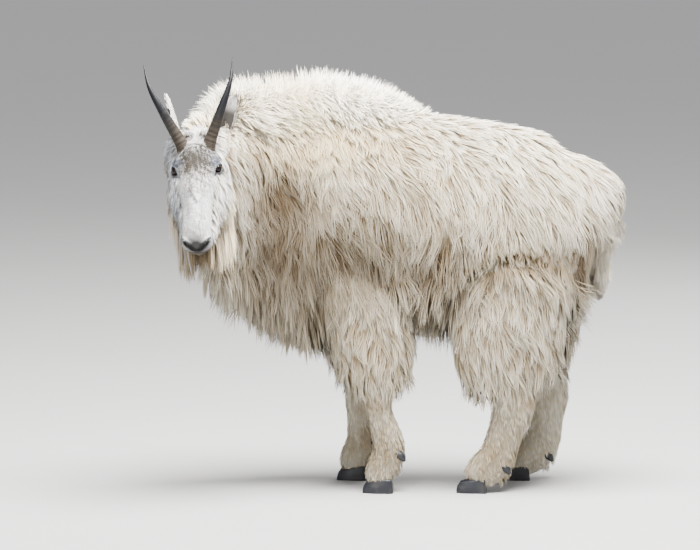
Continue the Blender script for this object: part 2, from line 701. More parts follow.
def foldGap(points):
    # the distance to the nearer fold as seen from the goat's left; far away on its right
    gap = np.minimum(*(nearPath(points * (1, 0, 1), fold) for fold in thighFolds))
    return gap + 9.0 * (points[:, 1] > -0.03)


# the distance to the skin on a regular grid, for hair to lie on
voxel = 0.005
distance = {}


def fillDistance(skin):
    mesh = skin.data
    mesh.calc_loop_triangles()
    triangles = np.empty(len(mesh.loop_triangles) * 3, np.int32)
    mesh.loop_triangles.foreach_get("vertices", triangles)
    points = meshPoints(mesh)
    volume = openvdb.FloatGrid.createLevelSetFromPolygons(
        points.astype(np.float32), triangles=triangles.reshape(-1, 3).astype(np.uint32),
        transform=openvdb.createLinearTransform(voxelSize=voxel), halfWidth=12.0)
    low = np.floor((points.min(0) - 0.10) / voxel).astype(int)
    size = np.ceil((points.max(0) + 0.10) / voxel).astype(int) - low
    values = np.zeros(size, np.float32)
    volume.copyToArray(values, ijk=tuple(int(v) for v in low))
    slopes = np.stack(np.gradient(values, voxel), -1).astype(np.float32)
    distance.update(low=low, values=values[..., None], slopes=slopes)


def sample(grid, points):
    # trilinear: the eight voxels round each point, weighted by how near they are
    place = points / voxel - distance["low"]
    i = np.clip(np.floor(place).astype(int), 0, np.array(grid.shape[:3]) - 2)
    f = clamp(place - i)
    found = 0.0
    for dx in (0, 1):
        for dy in (0, 1):
            for dz in (0, 1):
                share = (np.abs(1 - dx - f[:, 0]) * np.abs(1 - dy - f[:, 1])
                         * np.abs(1 - dz - f[:, 2]))
                found = found + grid[i[:, 0] + dx, i[:, 1] + dy, i[:, 2] + dz] * share[:, None]
    return found


def heightAt(points):
    return sample(distance["values"], points)


def outAt(points, before):
    # the skin's outward direction, or the one before where the grid no longer tells
    slope = sample(distance["slopes"], points)
    known = np.linalg.norm(slope, axis=-1, keepdims=True) > 0.35
    return np.where(known, unit(slope), before)


# markings, the same for skin and hair: patches of x, |y| or y, z, reach and colour over a ground
ground = tone(229, 224, 208)
bodyPatches = [   # x, z, reach in x, reach in z, colour, share
    (-0.02, 0.62, 0.22, 0.13, tone(186, 177, 158), 0.75),
    (0.06, 0.56, 0.10, 0.11, tone(146, 136, 118), 0.70),
    (-0.18, 0.68, 0.12, 0.13, tone(136, 126, 108), 0.78),
    (-0.370, 0.80, 0.095, 0.110, tone(124, 107, 84), 0.85),
    (-0.365, 0.69, 0.095, 0.110, tone(106, 92, 72), 0.82),
    (-0.385, 0.57, 0.100, 0.120, tone(90, 80, 65), 0.82),
    (-0.26, 0.54, 0.10, 0.12, tone(144, 134, 116), 0.70),
    (-0.475, 0.81, 0.045, 0.110, tone(242, 238, 226), 0.80),
    (-0.28, 0.90, 0.150, 0.040, tone(222, 204, 160), 0.75),
    (-0.12, 0.88, 0.120, 0.035, tone(228, 213, 176), 0.65),
    (-0.035, 0.785, 0.022, 0.012, tone(120, 96, 60), 0.85),
    (0.02, 0.82, 0.030, 0.020, tone(206, 190, 152), 0.50),
    (0.30, 0.62, 0.11, 0.05, tone(190, 174, 144), 0.65),
    (0.30, 0.86, 0.16, 0.060, tone(250, 246, 230), 0.85),
    (0.43, 0.76, 0.060, 0.08, tone(250, 247, 238), 0.75),
    (0.42, 0.60, 0.030, 0.060, tone(222, 202, 166), 0.50),
    (0.20, 0.42, 0.14, 0.11, tone(212, 204, 188), 0.60),
    (-0.12, 0.40, 0.08, 0.09, tone(214, 203, 180), 0.55),
    (0.27, 0.615, 0.11, 0.040, tone(178, 167, 148), 0.75),
    (0.27, 0.250, 0.05, 0.030, tone(190, 162, 120), 0.65),
    (-0.11, 0.250, 0.05, 0.030, tone(190, 164, 124), 0.60),
    (-0.10, 0.110, 0.07, 0.080, tone(170, 154, 128), 0.80),
    (0.18, 0.110, 0.10, 0.085, tone(176, 160, 132), 0.80)]


def noiseAt(points, size, seed=0):
    # a smooth, cheap noise of 0 to 1: the mean of sine waves in fixed random directions
    waves = np.random.default_rng(700 + seed)
    total = 0.0
    for _ in range(7):
        way = unit(waves.normal(size=3)) * waves.uniform(0.7, 1.5) * 2 * np.pi / size
        total = total + np.sin(points @ way + waves.uniform(0, 6.3))
    return clamp(0.5 + total / 7)


# patches of the face: centre, reach on each axis, strength, even share, speckled share, colour
facePatches = [
    ((0.150, 0.000, -0.050), (0.220, 0.100, 0.090), 1.60, 1.00, 0.00, tone(206, 208, 210)),
    ((0.190, 0.000, -0.110), (0.110, 0.080, 0.034), 1.10, 1.00, 0.00, tone(190, 156, 108)),
    ((0.072, 0.000, 0.002), (0.044, 0.060, 0.034), 2.30, 0.42, 0.62, tone(54, 50, 45)),
    ((0.135, 0.012, 0.000), (0.040, 0.020, 0.030), 0.90, 0.00, 1.00, tone(88, 76, 62)),
    ((0.215, 0.010, 0.000), (0.060, 0.024, 0.030), 0.60, 0.00, 1.00, tone(112, 110, 108)),
    ((0.068, 0.052, -0.020), (0.018, 0.018, 0.018), 1.20, 1.00, 0.00, tone(84, 90, 106)),
    ((0.006, 0.016, 0.000), (0.010, 0.010, 0.030), 1.80, 1.00, 0.00, tone(30, 24, 22))]
muzzlePatches = [
    ((0.0975, 0.0562, -0.0285), (0.0050, 0.0060, 0.0035), 0.85, 1.00, 0.00, tone(52, 44, 44)),
    ((0.268, 0.000, -0.012), (0.024, 0.022, 0.020), 0.75, 0.50, 0.50, tone(84, 83, 84)),
    ((0.298, 0.000, -0.064), (0.024, 0.042, 0.020), 1.70, 1.00, 0.00, tone(27, 24, 23)),
    ((0.297, 0.000, -0.030), (0.026, 0.026, 0.024), 1.50, 1.00, 0.00, tone(62, 60, 61))]
chinPatches = [
    ((0.258, 0.000, -0.090), (0.040, 0.040, 0.022), 1.20, 1.00, 0.00, tone(196, 180, 150))]
streakPath = np.array(((0.150, -0.026, 0), (0.192, -0.028, 0)))
scratchPath = np.array(((0.150, -0.016, 0), (0.166, -0.008, 0), (0.190, 0.004, 0)))


def headMarkings(q, colour):
    # the face's colours in head coordinates: patches, each a bell round its centre, the eye's lid
    # and rim, the muzzle's patches, nostrils, mouth and split lip, the chin, and two old marks
    side, flat = folded(q), q * (1, 1, 0)
    speckle = smooth(noiseAt(q, 0.011, 3) * 0.6 + noiseAt(q, 0.006, 4) * 0.5, 0.35, 0.75)[:, None]

    def patched(colour, patches):
        for centre, reach, strength, plain, speckled, paint in patches:
            share = strength * bellAround(side, centre, reach)[:, None]
            colour = blend(colour, paint, clamp(share * (plain + speckled * speckle)))
        return colour

    def lined(colour, *lines):
        for share, paint in lines:
            colour = blend(colour, paint, clamp(share[:, None]))
        return colour

    colour = patched(colour, facePatches)
    share, b = almondShare(q)
    lid = bell(share - 1.75, 0.45) * (0.45 + 0.55 * smooth(b, -0.2, 0.6))
    rim = bell(share - 1.10, 0.24) + (share < 1)
    colour = lined(colour, (0.95 * lid, tone(74, 80, 96)), (rim, tone(12, 10, 11)))
    colour = patched(colour, muzzlePatches)
    colour = lined(colour,
                   (1.2 * bell(nearPath(side, nostrilPath, nostrilWide), 1.5, 4), tone(6, 5, 6)),
                   (0.95 * bell(nearPath(side, mouthPath), 0.0044), tone(20, 17, 17)),
                   (0.8 * bell(nearPath(side, lipSplit), 0.0030), tone(40, 36, 37)))
    colour = patched(colour, chinPatches)
    above = q[:, 2] > -0.03
    return lined(colour, (bell(nearPath(flat, streakPath), 0.007) * above * 0.5, tone(132, 138, 150)),
                 (bell(nearPath(flat, scratchPath), 0.0028) * above * 0.9, tone(58, 48, 45)))


# places where the wool parts and shows its darker depth: x, z, reach in x, reach in z
woolGaps = ((0.06, 0.62, 0.11, 0.11), (-0.18, 0.62, 0.13, 0.10), (-0.36, 0.70, 0.09, 0.16))
behindThigh = np.array(((0.396, 0, 0.665), (0.398, 0, 0.535)))


def spotShare(points, x, z, wide, tall):
    # a bell of the distance in x and z, each in its own reach
    return np.exp(-(((points[:, 0] - x) / wide) ** 2 + ((points[:, 2] - z) / tall) ** 2))


def bodyMarkings(points):
    # ground, then each patch laid over it by a bell of its own, mottled by noise; then streaks
    # along the hair, gaps in the wool, the shade of the folds, greyer shanks and the pale ridge
    x, z = points[:, 0], points[:, 2]
    colour = np.broadcast_to(ground, points.shape)
    mottle = 0.8 + 0.4 * noiseAt(points, 0.07, 1)
    for *spot, paint, share in bodyPatches:
        colour = blend(colour, paint, clamp(share * spotShare(points, *spot) * mottle)[:, None])
    streak = 1 - smooth(noiseAt(points * (1, 1, 0.28), 0.024, 6), 0.30, 0.58)
    calm = 0.35 + 0.65 * (1 - smooth(z, 0.80, 0.92)) * (1 - 0.5 * smooth(x, 0.1, 0.3))
    colour = colour * (1 - (streak * calm)[:, None] * (0.22, 0.26, 0.33))
    gaps = 0.85 * smooth(noiseAt(points * (1, 1, 0.3), 0.020, 5), 0.68, 0.84)
    for spot in woolGaps:
        colour = blend(colour, tone(84, 66, 46), (gaps * spotShare(points, *spot))[:, None])
    crease = 0.60 * bell(foldGap(points), 0.0060)
    crease = np.maximum(crease, 0.9 * bell(nearPath(points * (1, 0, 1), behindThigh), 0.011))
    colour = blend(colour, tone(104, 84, 60), crease[:, None])
    colour = colour * (1 - 0.20 * (1 - smooth(z, 0.20, 0.34)))[:, None]
    ridge = smooth(z - np.interp(x, (-0.55, -0.3, 0.0, 0.2), (0.93, 0.955, 0.93, 0.90)), -0.02, 0.03)
    return blend(colour, tone(252, 251, 247), ridge[:, None])


def markings(points):
    # the body's paint, and the face's where the head is
    colour = bodyMarkings(points)
    q = toHead(points)
    inside = (smooth(q[:, 0], -0.09, -0.03) * (1 - smooth(np.abs(q[:, 1]), 0.085, 0.12))
              * smooth(q[:, 2], -0.22, -0.15))[:, None]
    return blend(colour, headMarkings(q, colour), inside)


# the lie of the coat on the flanks: x, z, and the way there in x and z
lieSpots = np.array([
    (-.425, .952, .85, -.45), (-.412, .869, .50, -.85), (-.425, .743, .25, -.97),
    (-.425, .592, .05, -1.0), (-.325, .970, .70, -.70), (-.300, .869, .60, -.80),
    (-.325, .743, .40, -.90), (-.300, .642, .15, -1.0), (-.175, .970, .50, -.85),
    (-.175, .844, .35, -.93), (-.175, .743, .45, -.88), (-.150, .642, .40, -.90),
    (-.050, .945, .70, -.70), (-.050, .869, .60, -.80), (.025, .894, .90, -.40),
    (.075, .793, .60, -.80), (.050, .667, .05, -1.0), (.075, .592, -.10, -1.0),
    (-.075, .617, .25, -.97), (-.100, .516, .00, -1.0), (.125, .894, .95, -.30),
    (.200, .907, .90, -.35), (.300, .894, .85, -.50), (.400, .831, .70, -.70),
    (.4625, .743, .45, -.90), (.200, .793, .75, -.65), (.300, .768, .80, -.60),
    (.350, .693, .50, -.85), (.250, .718, .30, -.90), (.200, .667, -.10, -1.0),
    (.150, .743, .30, -.95), (.275, .630, .20, -.95), (.350, .617, .30, -.95),
    (.200, .491, -.05, -1.0), (.300, .516, .50, -.80), (.350, .441, .75, -.65),
    (.3875, .390, .80, -.50), (.125, .441, .05, -1.0), (.000, .440, .00, -1.0),
    (-.425, .440, .10, -1.0), (-.325, .378, .10, -1.0), (-.1875, .390, .15, -1.0)])


def flankLie(points, normal):
    # the mean of the spots' ways, each weighted by a bell of its distance; outwards from the spine
    gap = ((points[:, None, (0, 2)] - lieSpots[None, :, :2]) ** 2).sum(-1)
    w = np.exp(-gap / 0.075 ** 2) + 1e-6
    way = (w[..., None] * lieSpots[None, :, 2:]).sum(1) / w.sum(1, keepdims=True)
    aside = 0.45 * np.tanh(points[:, 1] / 0.05) * clamp(normal[:, 2])
    return unit(np.stack([way[:, 0], aside, way[:, 1]], -1))


def legLie(rows):
    # down, swept back behind the bone
    def lie(points, normal):
        rear = np.tanh((points[:, 0] - np.interp(-points[:, 2], -rows[:, 2], rows[:, 0])) / 0.08)
        sweep = 0.12 + 0.34 * np.maximum(rear, 0)
        return unit(np.stack([sweep, 0.05 * normal[:, 1], np.full(len(points), -1.0)], -1))
    return lie


def blockOrder(rows, columns):
    # the cells sorted by their row and column numbers with the binary digits of both interleaved
    i, k = np.divmod(np.arange(rows * columns), columns)
    key = np.zeros(rows * columns, np.int64)
    for bit in range(9):
        key |= ((i >> bit) & 1) << (2 * bit + 1) | ((k >> bit) & 1) << (2 * bit)
    return np.argsort(key, kind="stable")


def scatter(grid, count, weight):
    # cells are drawn in proportion to their area times the weight at their middle, and a root is
    # set at a random place in each: (1-a)(1-b) p00 + a(1-b) p10 + (1-a) b p01 + a b p11
    beside = np.roll(grid, -1, 1)
    p00, p10, p01, p11 = grid[:-1], grid[1:], beside[:-1], beside[1:]
    cross = np.cross(p11 - p00, p01 - p10)
    middle = (p00 + p10 + p01 + p11) / 4
    centre = grid.mean(1, keepdims=True)
    if (cross * (middle - (centre[:-1] + centre[1:]) / 2)).sum() < 0:
        cross = -cross
    flat = middle.reshape(-1, 3), unit(cross).reshape(-1, 3)
    order = blockOrder(*middle.shape[:2])   # so that neighbours in the sum are neighbours on the grid
    share = np.cumsum((np.linalg.norm(cross, axis=-1).ravel() * weight(*flat))[order])
    picks = (np.arange(count) + dice.random(count)) / count * share[-1]
    cell = order[np.minimum(np.searchsorted(share, picks), len(share) - 1)]
    i, k = np.divmod(cell, grid.shape[1])
    a, b = dice.random(count), dice.random(count)
    f = a[:, None], b[:, None]
    roots = ((p00[i, k] * (1 - f[0]) + p10[i, k] * f[0]) * (1 - f[1])
             + (p01[i, k] * (1 - f[0]) + p11[i, k] * f[0]) * f[1])
    uv = np.stack([(i + a) / (len(grid) - 1), (k + b) / grid.shape[1]], -1)
    return roots, flat[1][cell], uv


def onSkin(points, normal, times=4):
    # Newton steps down the distance to the skin
    for _ in range(times):
        normal = outAt(points, normal)
        points = points - normal * heightAt(points)
    return points, outAt(points, normal)


# what every kind of fur starts from: stray of a tuft and of its clump, slow swirl, hang of its
# weight, outward bow, gathering to the clump's first, turns of the wave, ridge over width, share
# of the coat's own normal in the shading, and first tufts scattered for each one asked for
usualFur = dict(stray=0.10, clumpStray=0.16, swirl=0.0, hang=0.3, bow=0.0, gather=0.7, wave=0.0,
                turns=5.0, thick=0.42, soft=0.55, spare=1.0, free=False)


def tuftPaths(roots, normal, lieAt, fur, clump):
    # step by step along the lie, laid on the skin and raised by the lift, dropped a little by its
    # weight; where the skin turns under, the hair lets go of it and hangs
    steps, member = fur["steps"], clump["of"]
    count = len(roots)
    length = np.broadcast_to(fur["length"](roots, normal), (count,)) * dice.uniform(0.78, 1.12, count)
    yaw = fur["stray"] * dice.normal(size=(count, 3)) + fur["clumpStray"] * clump["shove"][member]
    swirl = np.stack([noiseAt(roots, 0.11, 11 + k) for k in range(3)], -1) - 0.5
    yaw = yaw + fur["swirl"] * 2 * swirl
    lift = np.broadcast_to(fur["lift"](roots, normal), (count,))[:, None]
    lift = lift * dice.uniform(0.75, 1.25, (count, 1))
    point, out = roots, normal
    path, outs = [roots - normal * 0.003], [normal]
    for k in range(1, steps + 1):
        share = k / steps
        along = lieAt(point, out) + yaw - up * fur["hang"] * share
        under = smooth(-out[:, 2:], 0.25, 0.6)
        if fur["free"]:
            way = unit(along + out * fur["bow"] * (1 - share))
        else:
            flat = unit(along - out * dot(along, out) * (1 - under))
            way = unit(flat * np.cos(lift) + out * np.sin(lift) * (1 - under))
        point = point + way * (length / steps)[:, None]
        out = outAt(point, out)
        point = point + out * np.maximum(0.0015 + 0.003 * share - heightAt(point), 0)
        path.append(point)
        outs.append(out)
    path, outs = np.stack(path, 1), np.stack(outs, 1)
    # members of a clump lean towards its first tuft, and all of it waves together
    share = np.linspace(0, 1, steps + 1)[None, :, None]
    guide = path[clump["first"][member]]
    path = path + (guide - path) * fur["gather"] * share ** 1.2
    if fur["wave"]:
        side = np.cross(unit(path[:, -1:] - path[:, :1]), outs)
        turn = clump["phase"][member][:, None, None] + share * fur["turns"]
        path = path + side * fur["wave"] * np.sin(turn) * share
    return path, fur["facing"](path) if "facing" in fur else outs


# widths along a tuft, how they vary and how far it rolls; its patch of UV map; and how far every
# tuft keeps inside the solids' box
tuft = dict(at=(0, 0.3, 0.6, 0.85, 1), wide=(0.75, 1.0, 0.82, 0.48, 0.0), uneven=(0.7, 1.3),
            roll=0.35, patch=(0.0030, 0.0013), margin=0.001)


def furMesh(name, path, outs, fur, uv, tint, luck):
    # three points round each step of the path (two edges and a ridge) that narrow to one tip
    count, steps = path.shape[0], path.shape[1] - 1
    share = np.linspace(0, 1, steps + 1)
    wide = np.interp(share, tuft["at"], tuft["wide"])[None, :steps, None]
    width = (fur["width"] * dice.uniform(*tuft["uneven"], count))[:, None, None] * wide
    ahead = unit(np.gradient(path, axis=1))
    facing = unit(outs - ahead * dot(ahead, outs))
    side = np.cross(ahead, facing)
    roll = dice.normal(size=(count, 1, 1)) * tuft["roll"]
    c, s = np.cos(roll), np.sin(roll)
    facing, side = facing * c + side * s, side * c - facing * s
    ridge, edge = facing[:, :steps] * width * fur["thick"], side[:, :steps] * width * 0.5
    middle = path[:, :steps]
    rings = np.stack([middle - edge - ridge * 0.3, middle + ridge * 0.7, middle + edge - ridge * 0.3], 2)
    points = np.concatenate([rings.reshape(count, -1, 3), path[:, -1:]], 1)
    points = np.clip(points, cadLow - standAt + tuft["margin"], cadHigh - standAt - tuft["margin"])
    k, n = np.array((0, 1, 2)), np.array((1, 2, 0))
    ring = np.arange(steps - 1)[:, None] * 3
    quads = np.stack([ring + k, ring + n, ring + 3 + n, ring + 3 + k], -1).reshape(-1, 4)
    last = 3 * (steps - 1)
    ends = np.concatenate([np.stack([last + k, last + n, np.full(3, 3 * steps)], -1), [[0, 2, 1]]])
    size = 3 * steps + 1
    offset = np.arange(count)[:, None, None] * size
    faces = [(quads[None] + offset).reshape(-1, 4), (ends[None] + offset).reshape(-1, 3)]
    along = np.append(np.repeat(share[:steps], 3), 1.0)
    across = np.append(np.tile((-1.0, 0.0, 1.0), steps), 0.0)
    long, broad = tuft["patch"]
    patch = uv[:, None] + np.stack([(along - 0.5) * long, across * broad], -1)[None]
    made = putMesh(name, points.reshape(-1, 3), faces, clamp(patch, 0.001, 0.999).reshape(-1, 2),
                   {"along": np.tile(along, count), "luck": np.repeat(luck, size),
                    "tint": np.repeat(tint, size, axis=0)}, settle=False)
    # shading normals: the tuft's own, drawn part of the way to the way out of the coat
    own = np.stack([-side[:, :steps] - facing[:, :steps] * 0.2, facing[:, :steps],
                    side[:, :steps] - facing[:, :steps] * 0.2], 2).reshape(count, -1, 3)
    own = np.concatenate([own, facing[:, -1:]], 1)
    outs = outs * np.where(outs[..., 2:] < 0, (1.0, 1.0, 0.1), 1.0)   # hanging hair isn't lit from below
    around = np.concatenate([np.repeat(outs[:, :steps], 3, 1), outs[:, -1:]], 1)
    shade = unit(own * (1 - fur["soft"]) + around * fur["soft"])
    made.data.normals_split_custom_set_from_vertices(shade.reshape(-1, 3).astype(np.float32))
    return made


def growClumps(grid, fur, weight, onBody=True):
    # first tufts are scattered, and each gets its fellows round it within the clump's reach
    firsts = max(int(fur["tufts"] / fur["fellows"]), 1)
    roots, normal, uv = scatter(grid, int(firsts * fur["spare"]), weight)
    if onBody:   # charts overlap where limbs join, so roots deep inside or far outside are left out
        height = heightAt(roots)[:, 0]
        seen = (height > -0.012) & (height < 0.030)
        roots, normal, uv = roots[seen], normal[seen], uv[seen]
    firsts, each = len(roots), fur["fellows"]
    across = unit(np.cross(normal, up + 0.01))
    over = np.cross(normal, across)
    spread = np.sqrt(dice.random((firsts, each))) * fur["reach"]
    spread[:, 0] = 0
    turn = dice.uniform(0, 2 * np.pi, (firsts, each))
    a, b = (spread * np.cos(turn))[..., None], (spread * np.sin(turn))[..., None]
    grown = (roots[:, None] + across[:, None] * a + over[:, None] * b).reshape(-1, 3)
    normal = np.repeat(normal, each, 0)
    size = np.linalg.norm(np.diff(grid, axis=0), axis=-1).mean(1).sum()
    girth = np.linalg.norm(grid - np.roll(grid, 1, 1), axis=-1).sum(1).mean()
    uv = (uv[:, None] + np.concatenate([a / size, b / girth], -1) * 0.7).reshape(-1, 2)
    if onBody:
        grown, normal = onSkin(grown, normal)
    clump = dict(of=np.repeat(np.arange(firsts), each), first=np.arange(firsts) * each,
                 shove=dice.normal(size=(firsts, 3)), phase=dice.uniform(0, 6.3, firsts))
    return grown, normal, uv, clump


def coatPiece(name, grid, fur, weight, lieAt, slot="coat", split=None):
    # grows one region's tufts, cut into named pieces where it would be too heavy as one
    roots, normal, uv, clump = growClumps(grid, fur, weight)
    path, outs = tuftPaths(roots, normal, lieAt, fur, clump)
    tint = fur.get("paint", markings)(path[:, 0])
    luck = 0.55 * dice.random(len(path)) + 0.45 * dice.random(len(clump["first"]))[clump["of"]]
    groups = split(roots) if split else {"": np.ones(len(roots), bool)}
    for part, chosen in groups.items():
        piece = furMesh(name + part, path[chosen], outs[chosen], fur, uv[chosen], tint[chosen],
                        luck[chosen])
        dress(piece, finishes[fur.get("finish", slot)], slot)
    print(name, len(path), "tufts in", len(groups), "pieces")


def even(value):
    return lambda points, normal: value


finishes = {}


def coatFinish(name, rootTone, rough, reach=1.5, spread=0.42):
    # the tint, darker and warmer towards the root, each tuft a little lighter or darker
    made = Finish(name, Roughness=rough, Specular_IOR_Level=0.22)
    tint, along, luck = made.attribute("tint", "Color"), made.attribute("along"), made.attribute("luck")
    deep = made.mix(1.0, tint, rootTone, "MULTIPLY")
    grown = made.mix(along ** reach, deep, tint)
    shade = 0.87 - spread / 2 + luck * spread + made.noise(260.0, 2.0) * 0.08
    return made.feed(Base_Color=made.scaled(grown, shade))


def skinFinish():
    # the same tint under fine hair marks, and smoother where it is wet
    made = Finish("skinUnderFur", Roughness=0.85, Specular_IOR_Level=0.2)
    hair = made.noise(700.0, 3.0, 0.6, (1.0, 1.0, 0.25))
    lumps = made.noise(160.0, 3.0)
    return made.feed(Base_Color=made.scaled(made.attribute("tint", "Color"), 0.78 + hair * 0.24),
                     Roughness=0.85 - made.attribute("wet") * 0.45,
                     Normal=made.bump(hair * 0.6 + lumps * 0.4, 0.0010, 0.6))


def hornFinish():
    # brown black with paler rings below, blue black above
    made = Finish("horn", Specular_IOR_Level=0.20)
    along, ring = made.attribute("along"), made.attribute("ring")
    grain = made.noise(220.0, 4.0, 0.6, (1.0, 1.0, 0.12))
    lower = made.mix(ring ** 1.6 * 0.8 + grain * 0.2, opaque(17, 15, 13), opaque(66, 58, 48))
    upper = made.mix(grain, opaque(6, 7, 9), opaque(20, 22, 28))
    share = made.ramp(along + made.noise(60.0, 3.0) * 0.16, 0.30, 0.62, "SMOOTHSTEP")
    return made.feed(Base_Color=made.mix(share, lower, upper), Roughness=0.62 - share * 0.16,
                     Normal=made.bump(grain, 0.0006, 0.5))


def hoofFinish():
    # growth lines round the hoof, dusty in patches
    made = Finish("hoof", Specular_IOR_Level=0.4)
    growth = made.noise(110.0, 3.0, 0.6, (0.25, 0.25, 3.0))
    dark = made.mix(growth, opaque(9, 10, 14), opaque(30, 33, 41))
    dusty = made.ramp(made.noise(38.0, 4.0, 0.65), 0.50, 0.78)
    return made.feed(Base_Color=made.mix(dusty * 0.30, dark, opaque(84, 77, 68)),
                     Roughness=0.42 + dusty * 0.35, Normal=made.bump(growth, 0.0012, 0.6))


def eyeFinish():
    # rings of colour by the angle from the gaze: pupil a level bar, brown iris, dark rim
    made = Finish("eyeball", Roughness=0.10, Specular_IOR_Level=0.24)
    iris = made.mix(made.noise(900.0, 3.0), opaque(9, 5, 4), opaque(22, 12, 8))
    ball = made.mix(made.ramp(made.attribute("fromBar"), 0.9, 1.1), (0.002, 0.002, 0.003, 1), iris)
    edge = made.ramp(made.attribute("fromGaze"), 0.88, 1.05)
    return made.feed(Base_Color=made.mix(edge, ball, opaque(10, 7, 7)))


horn = dict(base=0.0200, tip=0.0010, taper=0.955, power=1.08, flat=0.86, lean=5.5, rings=150,
            around=36, ridges=15, ridge=0.0009, ridgedTo=0.55,
            spine=[(0.0, -0.004, -0.020), (0.0, 0.006, 0.010), (-0.004, 0.040, 0.084),
                   (0.010, 0.069, 0.150), (0.046, 0.0795, 0.2045)])


def makeHorn(name, side):
    # a curved cone: radius falls as 1 - taper * t^power, with rounded rings that fade by mid length
    turn = np.array(Matrix.Rotation(-math.radians(horn["lean"]), 3, "Y"))
    spine = np.array([(p[1] * side, p[0], p[2]) for p in horn["spine"]]) @ turn.T + inHead(hornAt, side)
    t = np.linspace(0, 1, horn["rings"])
    path = alongRows(spine, t * (len(spine) - 1))
    wobble = 0.25 * np.sin(t * 31) + 0.2 * np.sin(t * 57 + 1)   # the rings aren't evenly spaced
    ring = 0.5 - 0.5 * np.cos(2 * np.pi * (t / horn["ridgedTo"] * horn["ridges"] + wobble))
    fade = clamp(1 - t / 0.58) ** 0.7
    radius = horn["base"] * (1 - horn["taper"] * t ** horn["power"]) \
        + horn["ridge"] * (ring ** 0.6 - 0.6) * fade
    radius = radius * roundEnd(t, 0.975, 0.025, 0.02)
    rows = np.column_stack([path, radius, radius, radius * horn["flat"]])
    points, faces = closedTube(ringGrid(rows, up, horn["rings"], horn["around"], least=horn["tip"]))
    along = np.append(np.repeat(t, horn["around"]), (0, 1))
    rings = np.append(np.repeat(1 - fade * (1 - ring), horn["around"]), (0, 1))
    made = putMesh("horn" + name.capitalize(), points, faces, attributes={"along": along, "ring": rings})
    dress(made, finishes["horn"], "horn", "horn_" + name)
    print(made.name)


claw = dict(length=0.076, height=0.034, half=0.0165, dome=0.0030, walls=13, around=56, drop=0.45)


def makeClaw(name, node, heel, side):
    # a ground outline stacked in height: each level shrinks, slides ahead and drops at the toe
    outer = np.array(((0.004, 0.85), (0.030, 1.00), (0.055, 0.78), (claw["length"], 0.22)))
    outer[:, 1] *= claw["half"]
    line = np.vstack([outer, outer[::-1] * (1, -0.80)])
    line = np.vstack([line, line[:3]])
    outline = alongRows(line, 1 + np.linspace(0, 8, claw["around"], endpoint=False))
    # levels run from the middle of the sole out to its edge, up the wall, and over the top
    sole, top, walls = np.linspace(0.05, 1.0, 5)[:4], np.linspace(0.97, 0.05, 5), claw["walls"]
    share = np.concatenate([np.zeros(4), np.linspace(0, 1, walls), np.ones(5)])
    close = np.concatenate([sole, np.ones(walls), top])
    z = share * claw["height"] + np.concatenate([np.zeros(4 + walls), (1 - top ** 2) * claw["dome"]])
    z[:4] += 0.0008 * (1 - sole)
    ripple = 1 + 0.006 * np.sin(share * 40) * (share > 0) * (share < 1)
    shrink = (np.interp(share, (0, 0.55, 1), (1.0, 0.93, 0.80)) * ripple)[:, None]
    slide = np.interp(share, (0, 0.55, 1), (0.0, 0.002, 0.004))[:, None]
    d, y = outline[None, :, 0] * shrink + slide, outline[None, :, 1] * shrink
    d, y = (v.mean(1, keepdims=True) + (v - v.mean(1, keepdims=True)) * close[:, None] for v in (d, y))
    drop = claw["drop"] * z[:, None] * np.maximum(d / claw["length"] - 0.35, 0)
    points, faces = closedTube(heel + np.stack([-d, y * side, z[:, None] - drop], -1))
    dress(putMesh(name, points, faces), finishes["hoof"], "hoof", node)


dewclaw = dict(radii=(0.008, 0.0105, 0.0055), rings=22, around=28)


def makeDewclaw(name, node, knob):
    # a short bent egg through three places: its radii fall to both ends as sqrt(1 - |s|^5)
    rings = dewclaw["rings"]
    rows = alongRows(np.column_stack([knob, *[dewclaw["radii"]] * 3]), np.linspace(0, 2, rings))
    rows[:, 3:] *= np.sqrt(np.maximum(1 - np.abs(np.linspace(-1, 1, rings)) ** 5, 0.02))[:, None]
    points, faces = closedTube(ringGrid(rows, up, rings, dewclaw["around"]))
    dress(putMesh(name, points, faces), finishes["hoof"], "hoof", node)


# heels and fetlocks in x (and z), and how far each claw and dewclaw is from the foot's middle
feet = dict(foreleg=(-0.066, (-0.050, 0.092)), hindleg=(0.168, (0.212, 0.060)), apart=0.0185,
            dewApart=0.016, knob=((-0.018, 0.0, 0.012), (0.0, 0.002, 0.002), (0.012, 0.004, -0.012)))


def makeFeet():
    for name, side, foreShift, hindShift in legSides:
        for kind, shift, track in (("foreleg", foreShift, foreTrack), ("hindleg", hindShift, hindTrack)):
            heelX, fetlock = feet[kind]
            for place, offset in (("outer", 1), ("inner", -1)):
                to = side * offset
                heel = np.array((heelX + shift, track * side + to * feet["apart"], 0.0))
                title = kind + name.capitalize() + place.capitalize()
                makeClaw(title + "Claw", f"{kind}_{name}_claw_{place}", heel, to)
                knob = [(fetlock[0] + shift + d, track * side + to * (feet["dewApart"] + w),
                         fetlock[1] + h) for d, w, h in feet["knob"]]
                makeDewclaw(title + "Dewclaw", f"{kind}_{name}_dewclaw_{place}", np.array(knob))
    print("claws and dewclaws")


eyeball = dict(radius=0.0136, cornea=0.0009, iris=0.62, bar=(0.0048, 0.0019), rings=48, around=64)


